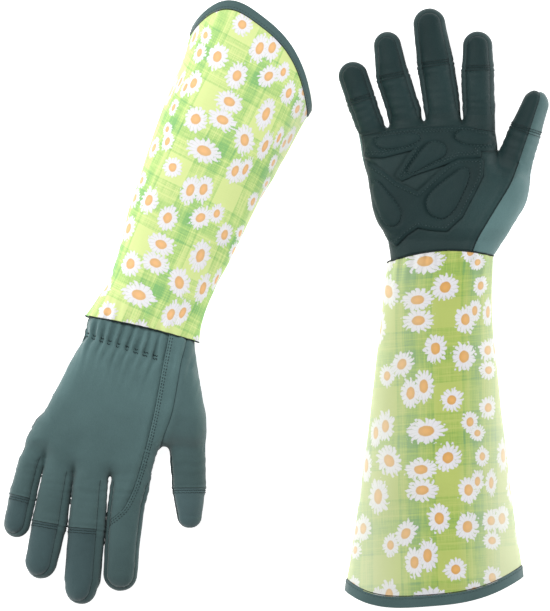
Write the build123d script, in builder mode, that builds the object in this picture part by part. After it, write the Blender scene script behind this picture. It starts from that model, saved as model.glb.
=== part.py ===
"""A pair of long gauntlet gardening gloves lying on a flat surface, in millimetres.

Both gloves have the same cut: a hand of thin cloth sewn from a back panel, a palm panel and side
gussets, fingers with fourchettes (the side strips) and fingertip patches, a padded palm, a gathered
wrist with elastic inside, and a long printed sleeve with a bound hem. Glove 1 lies palm down with
its fingers towards -Y, glove 2 lies palm up with its fingers towards +Y. The origin is on the
surface, under the middle of the pair, and +Z is up.

Cloth has no hinges, so each fold line (finger root, thumb root and wrist) is a hinge here: the part
on the near side of the fold ends in a convex barrel round the fold line, and the part beyond it
starts in a matching hollow, so that the two clear each other over the whole fold.
"""

import os
from dataclasses import dataclass
from math import atan2, cos, degrees, hypot, radians, sin

from build123d import *

os.makedirs("parts", exist_ok=True)

# Cloth and clearances
CLOTH = 1.3  # wall of the hand and fingers: shell cloth with its lining
CANVAS = 1.3  # wall of the printed sleeve
FOLD_GAP = 0.5  # clearance between the two sides of a fold line
FINGER_FOLD = 80.0  # the most that a digit folds, degrees
WRIST_FOLD = 50.0  # the most that the hand folds on the sleeve, degrees

# Hand
HAND_HEIGHT = 34.0  # filled hand at the wrist, back to palm
KNUCKLE_LEVEL = 22.0  # top of the hand where the fingers start
KNUCKLE_REACH = 117.0  # from the wrist's fold line to there
HAND_BEVEL = 5.0  # bevel of the hand's long edges
HAND_PLATE = 6.0  # how far the back and palm panels wrap round those edges
FINGER_ROUND_SHARE = 0.36  # rounding of a digit's long edges, as a share of its height
FINGER_PLATE_SHARE = 0.24  # how far the back and palm strips wrap round, as a share of the height
STUB_LENGTH = 26.0  # how far a digit's root reaches back into the hand
PATCH = 1.2  # cloth of the palm patches
PAD = 2.8  # foam of the palm pads
PAD_BEVEL = 1.8

# Wrist
WRIST_ROUND = 12.0  # rounding of the sleeve's section at the wrist
GATHER_LENGTH = 32.0  # gathered cloth, from the fold line
ELASTIC_WIDTH = 8.0
ELASTIC = 1.0

# Sleeve hem
HEM_ROUND_SHARE = 0.42  # rounding of the hem's section, as a share of its height
BINDING_WIDTH = 9.0
BINDING_FOLD = 2.0  # how far the binding runs past the canvas's edge
BINDING = 0.8  # cloth of the binding on each face of the canvas

OPEN_END = 5.0  # how far a cutting form runs past what it cuts
FAR = 400.0


@dataclass(frozen=True)
class Digit:
    """A finger or thumb, seen from above: the middle of its fold line, its tip and its sizes."""

    name: str
    hinge: tuple
    tip: tuple
    root_width: float
    tip_width: float
    height: float
    patch_start: float  # the fingertip patch's seam, as a share of hinge to tip

    @property
    def length(self):
        return hypot(self.tip[0] - self.hinge[0], self.tip[1] - self.hinge[1])

    @property
    def heading(self):
        return degrees(atan2(self.tip[1] - self.hinge[1], self.tip[0] - self.hinge[0]))

    @property
    def barrel(self):
        return barrel_radius(self.height, FINGER_FOLD)

    @property
    def frame(self):
        """Plane on the surface under the fold line, with x towards the tip."""
        return Plane(origin=(*self.hinge, 0), x_dir=(*aim(self.heading), 0), z_dir=(0, 0, 1))


@dataclass(frozen=True)
class Glove:
    name: str
    palm_up: bool
    hand_base: float  # height of the hand's underside: the palm's patches and pads lie under a palm-down hand
    hand_outline: tuple  # seen from above, without the digits
    wrist: tuple  # middle of the wrist's fold line
    wrist_heading: float  # from the wrist towards the fingers, degrees
    wrist_width: float
    hem: tuple  # middle of the hem
    hem_heading: float  # way the hem faces, degrees
    hem_width: float
    hem_height: float
    hem_lean: float  # how far the top of the hem leans out past its foot, degrees
    palm_scale: float
    digits: tuple

    @property
    def barrel(self):
        return barrel_radius(HAND_HEIGHT, WRIST_FOLD)

    @property
    def base_frame(self):
        """Plane of the hand's underside, at the wrist, with x towards the fingers."""
        return Plane(origin=(*self.wrist, self.hand_base), x_dir=(*aim(self.wrist_heading), 0), z_dir=(0, 0, 1))

    @property
    def top_frame(self):
        """Plane of the hand's top, which slopes down from the wrist to the fingers."""
        fall = atan2(self.hand_base + HAND_HEIGHT - KNUCKLE_LEVEL, KNUCKLE_REACH)
        along = aim(self.wrist_heading)
        return Plane(
            origin=(*self.wrist, self.hand_base + HAND_HEIGHT),
            x_dir=(along[0] * cos(fall), along[1] * cos(fall), -sin(fall)),
            z_dir=(along[0] * sin(fall), along[1] * sin(fall), cos(fall)),
        )

    @property
    def palm_frame(self):
        """Plane of the palm's outside: x towards the thumb, y towards the fingers, z out of the palm."""
        if self.palm_up:
            return Plane(origin=self.top_frame.origin, x_dir=-self.top_frame.y_dir, z_dir=self.top_frame.z_dir)
        return Plane(origin=self.base_frame.origin, x_dir=self.base_frame.y_dir, z_dir=(0, 0, -1))

    def sleeve_section(self, at_hem):
        """Plane through the middle of the sleeve's end, facing out of it, with x across."""
        if at_hem:
            out, lean = aim(self.hem_heading), radians(self.hem_lean)
            facing = (out[0] * cos(lean), out[1] * cos(lean), -sin(lean))
            middle = (*self.hem, self.hem_height / 2 * cos(lean) + BINDING)
        else:
            out = aim(self.wrist_heading + 180)
            facing = (*out, 0)
            middle = (*self.wrist, self.hand_base + HAND_HEIGHT / 2)
        return Plane(origin=middle, x_dir=(-out[1], out[0], 0), z_dir=facing)


def aim(heading):
    return cos(radians(heading)), sin(radians(heading))


def barrel_radius(height, fold):
    """Radius of a fold line's barrel: the least that leaves the whole fold free, and a little more."""
    return 1.06 * height / 2 / cos(radians(fold / 2))


def inset(points, amount):
    """The same outline, moved inwards by that much all round. The points run either way round."""
    turn = sum(a[0] * b[1] - b[0] * a[1] for a, b in zip(points, points[1:] + points[:1]))
    side = 1 if turn > 0 else -1
    moved = []
    for before, here, after in zip(points[-1:] + points[:-1], points, points[1:] + points[:1]):
        first = Vector(here[0] - before[0], here[1] - before[1]).normalized()
        second = Vector(after[0] - here[0], after[1] - here[1]).normalized()
        inward = Vector(-first.Y - second.Y, first.X + second.X).normalized() * side
        reach = amount / abs(inward.X * first.Y - inward.Y * first.X)
        moved.append((here[0] + inward.X * reach, here[1] + inward.Y * reach))
    return tuple(moved)


GLOVE_1 = Glove(
    name="glove_1",
    palm_up=False,
    hand_base=PATCH + PAD,
    hand_outline=(
        (-143, -4),
        (-172, -66),
        (-203, -112),
        (-183, -119),
        (-162, -131),
        (-133, -137),
        (-105, -142),
        (-91, -114),
        (-56, -112),
        (-56, -80),
        (-61, -32),
    ),
    wrist=(-101, -17.5),
    wrist_heading=-108,
    wrist_width=86,
    hem=(-22, 184),
    hem_heading=63.5,
    hem_width=122,
    hem_height=84,
    hem_lean=18,
    palm_scale=1.08,
    digits=(
        Digit("pinky", (-195.6, -125.6), (-210.1, -185), 19, 19.5, 18, 0.45),
        Digit("ring", (-174.3, -138.6), (-188, -219.2), 22, 24, 20, 0.45),
        Digit("middle", (-148.2, -146.4), (-155.2, -237), 27, 26, 21, 0.4),
        Digit("index", (-118.4, -148), (-123.2, -228.8), 27, 24, 20.5, 0.42),
        Digit("thumb", (-69, -124.8), (-68.6, -178.4), 25, 21, 21, 0.4),
    ),
)
GLOVE_2 = Glove(
    name="glove_2",
    palm_up=True,
    hand_base=0,
    hand_outline=(
        (91, 38),
        (78, 76),
        (72, 118),
        (68, 136),
        (89, 141),
        (120, 147),
        (151, 147),
        (176, 138),
        (177, 112),
        (208, 108),
        (201, 86),
        (176, 40),
    ),
    wrist=(132.5, 38),
    wrist_heading=89,
    wrist_width=82,
    hem=(127.6, -222),
    hem_heading=-85,
    hem_width=141,
    hem_height=76,
    hem_lean=4,
    palm_scale=1.0,
    digits=(
        Digit("pinky", (75.8, 147.6), (61.6, 193.6), 21, 18.5, 18, 0.42),
        Digit("ring", (102.8, 155.8), (90.4, 218.4), 25, 22, 20, 0.47),
        Digit("middle", (134.8, 161.4), (124.4, 236.8), 26.5, 24, 21, 0.4),
        Digit("index", (162.9, 159.2), (161.6, 218.8), 24.5, 21.5, 20.5, 0.5),
        Digit("thumb", (194.4, 121.6), (211.2, 171.2), 25, 19, 21, 0.4),
    ),
)

# The palm's patches, in the palm frame of an unscaled hand
KNUCKLE_PATCH = (
    (-63, 97),
    (-41, 101),
    (-7, 104),
    (43, 101),
    (42, 82),
    (18, 81),
    (6, 76),
    (-12, 68),
    (-30, 62.5),
    (-35.5, 66),
    (-21.6, 86),
    (-45, 82.5),
    (-60, 85),
)
HEEL_PATCH = (
    (-57, 79),
    (-51, 68),
    (-38, 58),
    (-19, 51),
    (-7, 60),
    (9, 74),
    (20, 78.5),
    (33, 79),
    (33, 72),
    (29.6, 57),
    (21, 40),
    (10.4, 27.8),
    (2.7, 21.7),
    (-21, 23.8),
    (-33, 15),
    (-41, 15),
    (-54, 35.6),
    (-59, 61.6),
)
# Each pad is the hull of two circles: (middle, radius) twice. The first three lie under the knuckle patch.
KNUCKLE_PADS = (
    ((-49, 91), 4.5, (-24, 95), 4),
    ((20, 94), 5, (36, 94), 5),
    ((-21, 73), 5, (-2, 85), 6),
)
HEEL_PADS = (
    ((-2, 40), 9, (18, 66), 4),
    ((-46, 54), 6, (-38, 30), 7),
)


def pill(frame, length, root_width, tip_width, height, rounding, base):
    """A flat-lying finger form: a tapered slot seen from above, with its long edges rounded."""
    with BuildPart() as form:
        with BuildSketch(frame.offset(base)):
            Circle(root_width / 2)
            with Locations((length - tip_width / 2, 0)):
                Circle(tip_width / 2)
            make_hull()
        extrude(amount=height)
        fillet(form.faces().sort_by(Axis.Z)[-1].edges(), rounding)
        fillet(form.faces().sort_by(Axis.Z)[0].edges(), rounding)
    return form.part


def fold_barrel(frame, radius, level, width):
    """A cylinder round a fold line that lies across the frame at that level."""
    across = Plane(origin=frame.from_local_coords((0, 0, level)), x_dir=frame.x_dir, z_dir=frame.y_dir)
    with BuildPart() as barrel:
        with BuildSketch(across):
            Circle(radius)
        extrude(amount=width / 2, both=True)
    return barrel.part


def slab(frame, low, high):
    """A box in a frame, from its low corner to its high corner."""
    middle = [(a + b) / 2 for a, b in zip(low, high)]
    with BuildPart() as block:
        with BuildSketch(frame.offset(low[2])):
            with Locations((middle[0], middle[1])):
                Rectangle(high[0] - low[0], high[1] - low[1])
        extrude(amount=high[2] - low[2])
    return block.part


def digit_shell(digit):
    """The digit's whole cloth tube, from its fold line to its closed tip."""
    rounding = FINGER_ROUND_SHARE * digit.height
    sizes = (digit.length, digit.root_width, digit.tip_width, digit.height)
    inner = (digit.length - CLOTH, *(size - 2 * CLOTH for size in sizes[1:]))
    with BuildPart() as shell:
        add(pill(digit.frame, *sizes, rounding, 0))
        add(pill(digit.frame, *inner, rounding - CLOTH, CLOTH), mode=Mode.SUBTRACT)
        width = 2 * digit.root_width
        add(
            slab(digit.frame, (-width, -width, -OPEN_END), (0, width, digit.height + OPEN_END)),
            mode=Mode.SUBTRACT,
        )
        add(
            fold_barrel(digit.frame, digit.barrel + FOLD_GAP, digit.height / 2, width),
            mode=Mode.SUBTRACT,
        )
    return shell.part


def cut_piece(label, shell, keep, leave=()):
    """The part of a shell that lies in any of the regions to keep and in none of those to leave."""
    with BuildPart() as piece:
        for region in keep:
            with BuildPart(mode=Mode.PRIVATE) as share:
                add(shell)
                add(region, mode=Mode.INTERSECT)
            add(share.part)
        for region in leave:
            add(region, mode=Mode.SUBTRACT)
    piece.part.label = label
    return piece.part


def digit_nodes(glove, digit):
    """The digit's pieces, cut from its tube along the seams. The thumb is two halves without fourchettes."""
    shell = digit_shell(digit)
    seam = digit.patch_start * digit.length
    plate = digit.height / 2 if digit.name == "thumb" else FINGER_PLATE_SHARE * digit.height
    upper = (digit.height - plate, digit.height + OPEN_END)
    lower = (-OPEN_END, plate)
    palm, back = (upper, lower) if glove.palm_up else (lower, upper)

    def region(start, end, levels):
        return slab(digit.frame, (start, -FAR, levels[0]), (end, FAR, levels[1]))

    name = f"{glove.name}_{digit.name}"
    nodes = [
        cut_piece(f"{name}_back", shell, [region(0, seam, back)]),
        cut_piece(f"{name}_palm", shell, [region(0, seam, palm)]),
        cut_piece(f"{name}_tip_patches", shell, [region(seam, FAR, back), region(seam, FAR, palm)]),
    ]
    if digit.name != "thumb":
        sides = region(0, FAR, (plate, digit.height - plate))
        nodes.append(cut_piece(f"{name}_fourchette", shell, [sides]))
    return nodes


def stub(digit, inside):
    """The digit's root, which is part of the hand: a stub that ends in the fold line's barrel."""
    wall = CLOTH if inside else 0
    reach = OPEN_END if inside else 0
    rounding = FINGER_ROUND_SHARE * digit.height - wall
    half = digit.root_width / 2 - wall
    with BuildPart() as root:
        with BuildSketch(
            Plane(
                origin=digit.frame.from_local_coords((-STUB_LENGTH, 0, digit.height / 2)),
                x_dir=digit.frame.y_dir,
                z_dir=digit.frame.x_dir,
            )
        ):
            RectangleRounded(2 * half, digit.height - 2 * wall, rounding)
        extrude(amount=STUB_LENGTH + digit.barrel + reach)
        if not inside:
            width = 2 * digit.root_width
            with BuildPart(mode=Mode.PRIVATE) as kept:
                add(slab(digit.frame, (-width, -width, -OPEN_END), (0, width, digit.height + OPEN_END)))
                add(fold_barrel(digit.frame, digit.barrel, digit.height / 2, width))
            add(kept.part, mode=Mode.INTERSECT)
    return root.part




def hand_form(glove, wall):
    """The filled hand from the wrist to the roots of the digits, smaller by a wall all round."""
    outline = [glove.base_frame.to_local_coords(Vector(*point)) for point in glove.hand_outline]
    outline = tuple((point.X, point.Y) for point in outline)
    sections = (
        (glove.base_frame.offset(wall), HAND_BEVEL + wall),
        (glove.base_frame.offset(HAND_BEVEL), wall),
        (glove.top_frame.offset(-HAND_BEVEL), wall),
        (glove.top_frame.offset(-wall), HAND_BEVEL + wall),
    )
    with BuildPart() as form:
        for plane, amount in sections:
            with BuildSketch(plane):
                with BuildLine():
                    Polyline(*inset(outline, amount), close=True)
                make_face()
        loft(ruled=True)
    return form.part


def hand_shell(glove):
    """The hand's whole cloth, open at the wrist and at the root of every digit."""
    with BuildPart() as shell:
        add(hand_form(glove, 0))
        for digit in glove.digits:
            add(stub(digit, False))
        add(hand_form(glove, CLOTH), mode=Mode.SUBTRACT)
        for digit in glove.digits:
            add(stub(digit, True), mode=Mode.SUBTRACT)
        width = glove.wrist_width
        mid_level = HAND_HEIGHT / 2
        add(
            slab(glove.base_frame, (-FAR, -width, -OPEN_END), (0, width, HAND_HEIGHT + OPEN_END)),
            mode=Mode.SUBTRACT,
        )
        add(
            fold_barrel(glove.base_frame, glove.barrel + FOLD_GAP, mid_level, 2 * width),
            mode=Mode.SUBTRACT,
        )
    return shell.part


def hand_nodes(glove):
    """The hand's panels, cut from its shell along the seams, and its gathered wrist."""
    shell = hand_shell(glove)
    wrist = [slab(glove.base_frame, (-FAR, -FAR, -FAR), (GATHER_LENGTH, FAR, FAR))]
    upper = [slab(glove.top_frame, (0, -FAR, -HAND_PLATE), (FAR, FAR, OPEN_END))]
    lower = [slab(glove.base_frame, (0, -FAR, -FAR), (FAR, FAR, HAND_PLATE))]
    for digit in glove.digits:
        plate = FINGER_PLATE_SHARE * digit.height
        half = digit.root_width / 2
        upper.append(
            slab(digit.frame, (-STUB_LENGTH, -half, digit.height - plate), (FAR, half, digit.height + 1))
        )
    upper_name, lower_name = ("palm", "back") if glove.palm_up else ("back", "palm")
    return [
        cut_piece(f"{glove.name}_{upper_name}_panel", shell, upper, wrist + lower),
        cut_piece(f"{glove.name}_{lower_name}_panel", shell, lower, wrist),
        cut_piece(f"{glove.name}_side_gussets", shell, [shell], wrist + upper + lower),
        cut_piece(f"{glove.name}_wrist_gather", shell, wrist),
    ]


def wrist_elastic(glove):
    """The elastic band, which lies against the inside of the gathered cloth all round."""
    start = glove.barrel + FOLD_GAP + 1
    band = slab(glove.base_frame, (start, -FAR, -FAR), (start + ELASTIC_WIDTH, FAR, FAR))
    with BuildPart() as elastic:
        add(hand_form(glove, CLOTH))
        add(hand_form(glove, CLOTH + ELASTIC), mode=Mode.SUBTRACT)
        add(band, mode=Mode.INTERSECT)
    elastic.part.label = f"{glove.name}_wrist_elastic"
    return elastic.part


def palm_patch(glove, name, outline):
    """A patch of cloth on the palm, kept to the flat of the palm panel."""
    frame = glove.palm_frame
    limit = [frame.to_local_coords(Vector(*point, frame.origin.Z)) for point in glove.hand_outline]
    limit = inset(tuple((point.X, point.Y) for point in limit), HAND_BEVEL + 0.5)
    with BuildPart() as patch:
        with BuildSketch(frame):
            with BuildLine():
                Polyline(*[(glove.palm_scale * x, glove.palm_scale * y) for x, y in outline], close=True)
            make_face()
            with BuildSketch(mode=Mode.PRIVATE) as flat:
                with BuildLine():
                    Polyline(*limit, close=True)
                make_face()
            add(flat.sketch, mode=Mode.INTERSECT)
        extrude(amount=PATCH)
        for digit in glove.digits:
            add(stub(digit, False), mode=Mode.SUBTRACT)
        start = glove.barrel + FOLD_GAP + 1
        add(slab(glove.base_frame, (-FAR, -FAR, -FAR), (start, FAR, FAR)), mode=Mode.SUBTRACT)
    patch.part.label = f"{glove.name}_{name}"
    return patch.part


def palm_pads(glove):
    """The foam pads, raised from the patches."""
    frame = glove.palm_frame
    with BuildPart() as pads:
        for first, first_radius, second, second_radius in KNUCKLE_PADS + HEEL_PADS:
            with BuildPart(mode=Mode.PRIVATE) as pad:
                with BuildSketch(frame.offset(PATCH)):
                    for middle, radius in ((first, first_radius), (second, second_radius)):
                        with Locations((glove.palm_scale * middle[0], glove.palm_scale * middle[1])):
                            Circle(radius)
                    make_hull()
                extrude(amount=PAD)
                chamfer(pad.faces().sort_by(Axis(frame.origin, frame.z_dir))[-1].edges(), PAD_BEVEL)
            add(pad.part)
        for digit in glove.digits:
            add(stub(digit, False), mode=Mode.SUBTRACT)
    pads.part.label = f"{glove.name}_palm_pads"
    return pads.part


def sleeve_form(glove, wall):
    """The filled sleeve from the hem to the wrist's barrel, grown or shrunk by a wall all round."""
    wrist = glove.sleeve_section(at_hem=False)
    hem = glove.sleeve_section(at_hem=True)
    wrist_size = (glove.wrist_width - 2 * wall, HAND_HEIGHT - 2 * wall)
    hem_size = (glove.hem_width - 2 * wall, glove.hem_height - 2 * wall)
    with BuildPart() as form:
        with BuildSketch(wrist):
            RectangleRounded(*wrist_size, WRIST_ROUND - wall)
        with BuildSketch(hem):
            RectangleRounded(*hem_size, HEM_ROUND_SHARE * glove.hem_height - wall)
        loft(ruled=True)
        with BuildSketch(wrist):
            RectangleRounded(*wrist_size, WRIST_ROUND - wall)
        extrude(amount=-(glove.barrel + OPEN_END))
    return form.part


def sleeve_nodes(glove):
    """The sleeve's two printed panels, sewn along the sides, and the binding round its hem."""
    hem = glove.sleeve_section(at_hem=True)
    width = glove.hem_width
    with BuildPart() as canvas:
        add(sleeve_form(glove, 0))
        add(sleeve_form(glove, CANVAS), mode=Mode.SUBTRACT)
        with BuildPart(mode=Mode.PRIVATE) as kept:
            add(slab(glove.base_frame, (-FAR, -width, -FAR), (0, width, FAR)))
            add(fold_barrel(glove.base_frame, glove.barrel, HAND_HEIGHT / 2, 2 * width))
        add(kept.part, mode=Mode.INTERSECT)
        add(slab(hem, (-width, -width, -BINDING_FOLD), (width, width, OPEN_END)), mode=Mode.SUBTRACT)
    with BuildPart() as binding:
        add(sleeve_form(glove, -BINDING))
        add(sleeve_form(glove, CANVAS + BINDING), mode=Mode.SUBTRACT)
        add(slab(hem, (-width, -width, -BINDING_WIDTH), (width, width, 0)), mode=Mode.INTERSECT)
        add(canvas.part, mode=Mode.SUBTRACT)
    binding.part.label = f"{glove.name}_hem_binding"
    run = glove.sleeve_section(at_hem=False).origin - hem.origin
    seam = Plane(origin=hem.origin, x_dir=run, z_dir=run.cross(hem.x_dir))
    seam = seam if seam.z_dir.Z > 0 else Plane(origin=hem.origin, x_dir=run, z_dir=-seam.z_dir)
    upper = slab(seam, (-FAR, -FAR, 0), (FAR, FAR, FAR))
    lower = slab(seam, (-FAR, -FAR, -FAR), (FAR, FAR, 0))
    back, palm = (lower, upper) if glove.palm_up else (upper, lower)
    return [
        cut_piece(f"{glove.name}_sleeve_back", canvas.part, [back]),
        cut_piece(f"{glove.name}_sleeve_palm", canvas.part, [palm]),
        binding.part,
    ]


for glove in (GLOVE_1, GLOVE_2):
    nodes = hand_nodes(glove) + sleeve_nodes(glove)
    nodes += [
        wrist_elastic(glove),
        palm_patch(glove, "knuckle_patch", KNUCKLE_PATCH),
        palm_patch(glove, "heel_patch", HEEL_PATCH),
        palm_pads(glove),
    ]
    for digit in glove.digits:
        nodes += digit_nodes(glove, digit)
    for node in nodes:
        export_step(node, f"parts/{node.label}.step")
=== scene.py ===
"""A pair of long gauntlet gardening gloves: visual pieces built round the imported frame.

Lengths in this script are millimetres in the shared frame until a mesh is made, which is in metres. Each
hand is one smooth implicit surface, cut along its seams into the sewn pieces; each sleeve is a lofted sheet.
"""

from itertools import product
from math import cos, pi, radians, sin

import bpy
import numpy as np
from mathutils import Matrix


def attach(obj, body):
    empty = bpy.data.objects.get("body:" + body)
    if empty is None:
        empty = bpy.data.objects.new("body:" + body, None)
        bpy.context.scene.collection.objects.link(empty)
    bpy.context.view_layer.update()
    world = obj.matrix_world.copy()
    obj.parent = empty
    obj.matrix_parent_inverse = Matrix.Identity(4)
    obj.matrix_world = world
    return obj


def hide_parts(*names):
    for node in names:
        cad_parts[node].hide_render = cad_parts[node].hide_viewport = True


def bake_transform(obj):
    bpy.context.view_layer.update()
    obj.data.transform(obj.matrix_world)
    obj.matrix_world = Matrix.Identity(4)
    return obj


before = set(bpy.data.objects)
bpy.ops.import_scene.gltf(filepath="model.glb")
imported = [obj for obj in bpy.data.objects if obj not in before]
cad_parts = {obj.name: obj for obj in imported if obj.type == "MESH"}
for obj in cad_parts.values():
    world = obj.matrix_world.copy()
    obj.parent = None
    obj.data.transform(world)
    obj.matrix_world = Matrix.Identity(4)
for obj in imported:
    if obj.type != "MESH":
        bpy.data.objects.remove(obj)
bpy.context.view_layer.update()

import openvdb
from mathutils import Vector

VOXEL = 1.05
AROUND, ROWS = ((260, 230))  # of a sleeve's mesh
CAMERA_HEIGHT = 1900.0
LENS = 139.9
FLOOR_REACH = 6000.0
PATCH = 1.35  # thickness of the palm patches
CLOTH = 1.1  # thickness of the other cloth
PATCH_MARGIN, PAD_MARGIN = 2.5, 5.5  # how far patches and pads keep off the hand's edge
PAD_RISE = 2.9
HAND_POWER, DIGIT_POWER, SLEEVE_POWER = 2.3, 2.25, 2.35  # of the cross-sections: at 2 they are ellipses
DOUBLE_ROW = (1.8, 3.6)  # the two rows of stitches beside the wrap's seam


# ---------------------------------------------------------------- numbers
def noise(points, size, seed=0):
    """Smooth noise from -1 to 1, with features of about that size."""
    q = points / size + 31.7 * seed
    base = np.floor(q).astype(np.int64)
    f = q - base
    f = f * f * (3 - 2 * f)
    total = np.zeros(len(points))
    for corner in product((0, 1), repeat=3):
        c = base + corner
        h = (c[:, 0] * 73856093) ^ (c[:, 1] * 19349663) ^ (c[:, 2] * 83492791) ^ (seed * 9973)
        h = (h ^ (h >> 13)) * 1274126177
        value = ((h ^ (h >> 16)) & 0xFFFF) / 32767.5 - 1
        total += value * np.prod(np.where(corner, f, 1 - f), axis=1)
    return total


def smooth_step(t):
    t = np.clip(t, 0, 1)
    return t * t * (3 - 2 * t)


def smooth_min(a, b, k):
    h = np.maximum(k - np.abs(a - b), 0) / k
    return np.minimum(a, b) - h * h * k / 4


def spline(points, closed, step=3.0):
    """Points about that far apart on a smooth curve through the given points."""
    p = np.array(points, float)
    n = len(p)
    runs = n if closed else n - 1
    out = []
    for i in range(runs):
        if closed:
            a, b, c, d = p[i - 1], p[i], p[(i + 1) % n], p[(i + 2) % n]
        else:
            b, c = p[i], p[i + 1]
            a = p[i - 1] if i else 2 * b - c
            d = p[i + 2] if i + 2 < n else 2 * c - b
        count = max(1, int(np.hypot(*(c - b)[:2]) / step))
        t = (np.arange(count) / count)[:, None]
        out.append(
            0.5 * (2 * b + (c - a) * t + (2 * a - 5 * b + 4 * c - d) * t**2 + (3 * b - a - 3 * c + d) * t**3)
        )
    if not closed:
        out.append(p[-1:])
    return np.vstack(out)


def to_segments(x, y, line, closed):
    """Distance to a line in the plane, and which side of it (+1 to its left)."""
    a = line
    b = np.roll(line, -1, axis=0)
    if not closed:
        a, b = a[:-1], b[:-1]
    best = np.full(np.shape(x), 1e18)
    side = np.ones(np.shape(x))
    for (ax, ay), (bx, by) in zip(a, b):
        dx, dy = bx - ax, by - ay
        t = np.clip(((x - ax) * dx + (y - ay) * dy) / (dx * dx + dy * dy + 1e-12), 0, 1)
        gap = (x - ax - t * dx) ** 2 + (y - ay - t * dy) ** 2
        turn = dx * (y - ay) - dy * (x - ax)
        near = gap < best
        best = np.where(near, gap, best)
        side = np.where(near, np.where(turn >= 0, 1.0, -1.0), side)
    return np.sqrt(best), side


def line_field(x, y, line):
    """Signed distance to an open line: positive to its left."""
    distance, side = to_segments(x, y, line, False)
    return distance * side


def inside_field(x, y, outline):
    """Distance to a closed outline: positive inside."""
    distance, _ = to_segments(x, y, outline, True)
    inside = np.zeros(np.shape(x), bool)
    a, b = outline, np.roll(outline, -1, axis=0)
    for (ax, ay), (bx, by) in zip(a, b):
        if ay == by:
            continue
        crosses = (y < ay) != (y < by)
        inside ^= crosses & (x < ax + (y - ay) * (bx - ax) / (by - ay))
    return np.where(inside, distance, -distance)


def turned(x, y, origin, *directions):
    """How far each place is from the origin, along each direction."""
    px, py = x - origin[0], y - origin[1]
    return [px * d[0] + py * d[1] for d in directions]


def bell(distance, width):
    return np.exp(-((distance / width) ** 2))


# ---------------------------------------------------------------- the two gloves
DIGITS = (("pinky", 18), ("ring", 20), ("middle", 21), ("index", 20.5), ("thumb", 21))  # with their heights
ROOT = -7.0  # where a digit's own cloth starts, from its fold line


class Digit:
    """A finger or thumb: its middle line with half widths, its fold line and its seams."""

    def __init__(self, name, height, line, hinge, tip, tip_seam, roll, band):
        self.name = name
        self.height = height
        self.line = line  # (x, y, half width) from inside the hand to the middle of the tip's round
        self.hinge = np.array(hinge, float)
        self.tip_seam = tip_seam  # from the fold line
        self.roll = radians(roll)  # how far the finger is turned on its side
        self.band = band  # half height of the fourchette: (upper side, lower side)
        along = np.array(tip, float) - self.hinge
        self.along = along / float(np.hypot(*along))
        self.left = np.array((-self.along[1], self.along[0]))

    def place(self, p):
        """How far along from the fold line, and how far to the left."""
        return turned(p[:, 0], p[:, 1], self.hinge, self.along, self.left)

    def level(self, p, base):
        """Height over the digit's middle, turned with the digit."""
        left = self.place(p)[1]
        return (p[:, 2] - self.field(*p.T, base)[1]) * cos(self.roll) - left * sin(self.roll)

    def field(self, x, y, z, base):
        """Signed distance to the digit's skin, and the height of its middle."""
        best, radius, whole = np.inf, 0, 0
        for i, ((ax, ay, ar), (bx, by, br)) in enumerate(zip(self.line, self.line[1:])):
            dx, dy = bx - ax, by - ay
            t = np.clip(((x - ax) * dx + (y - ay) * dy) / (dx * dx + dy * dy), 0, 1)
            r = ar + (br - ar) * t
            share = np.hypot(x - ax - t * dx, y - ay - t * dy) / r
            near = share < best
            best, radius = np.where(near, share, best), np.where(near, r, radius)
            whole = np.where(near, (i + t) / (len(self.line) - 1), whole)
        half = np.minimum(self.height / 2, 0.86 * radius)
        middle = half + base * (1 - smooth_step(whole * 1.6))
        level = np.abs(z - middle) / half
        shape = (best**DIGIT_POWER + level**DIGIT_POWER) ** (1 / DIGIT_POWER) - 1
        return shape * np.minimum(half, radius), middle


class Glove:
    def __init__(self, name, palm_up, base, wrist, heading, scale, outline, tops, digits, sleeve):
        self.name = name
        self.palm_up = palm_up
        self.base = base
        self.wrist = np.array(wrist, float)
        self.along = np.array((cos(radians(heading)), sin(radians(heading))))
        side = 1 if palm_up else -1
        self.thumbward = np.array((side * self.along[1], -side * self.along[0]))
        self.scale = scale
        self.outline = spline(outline, True, 4.0)
        self.tops = tops
        self.digits = [Digit(*known, *given) for known, given in zip(DIGITS, digits)]
        self.sleeve = sleeve
        self.up, self.down = ("palm", "back") if palm_up else ("back", "palm")

    def wraps(self, digit):
        """Whether the cloth from the side of the hand is wrapped round that digit's back."""
        return digit.name == "index" and not self.palm_up

    def uv(self, x, y):
        """Place on the palm: u towards the thumb, v towards the fingers from the wrist's fold line."""
        return turned(x, y, self.wrist, self.thumbward, self.along)

    def plan(self, p):
        """Place on the palm as it is drawn: the same on both gloves."""
        return [d / self.scale for d in self.uv(p[:, 0], p[:, 1])]

    def outline_uv(self, points):
        return np.stack(self.plan(np.array(points, float)), axis=1)

    def palm_middle(self, x, y):
        _, v = self.uv(x, y)
        top = np.interp(v, *self.tops)
        return (top + self.base) / 2, (top - self.base) / 2, v

    def field(self, x, y, z):
        """Signed distance to the whole hand's skin."""
        middle, half, v = self.palm_middle(x, y)
        reach = np.interp(v, (0, 60, 125), (17.0, 15.0, 11.0))
        edge = np.maximum(1 - inside_field(x, y, self.outline) / reach, 0)
        level = np.abs(z - middle) / half
        shape = (edge**HAND_POWER + level**HAND_POWER) ** (1 / HAND_POWER) - 1
        total = shape * np.minimum(half, reach)
        fingers = self.digits[0].field(x, y, z, self.base)[0]
        for digit in self.digits[1:]:
            fingers = smooth_min(fingers, digit.field(x, y, z, self.base)[0], 1.0)
        return smooth_min(total, fingers, 5.0)


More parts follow.
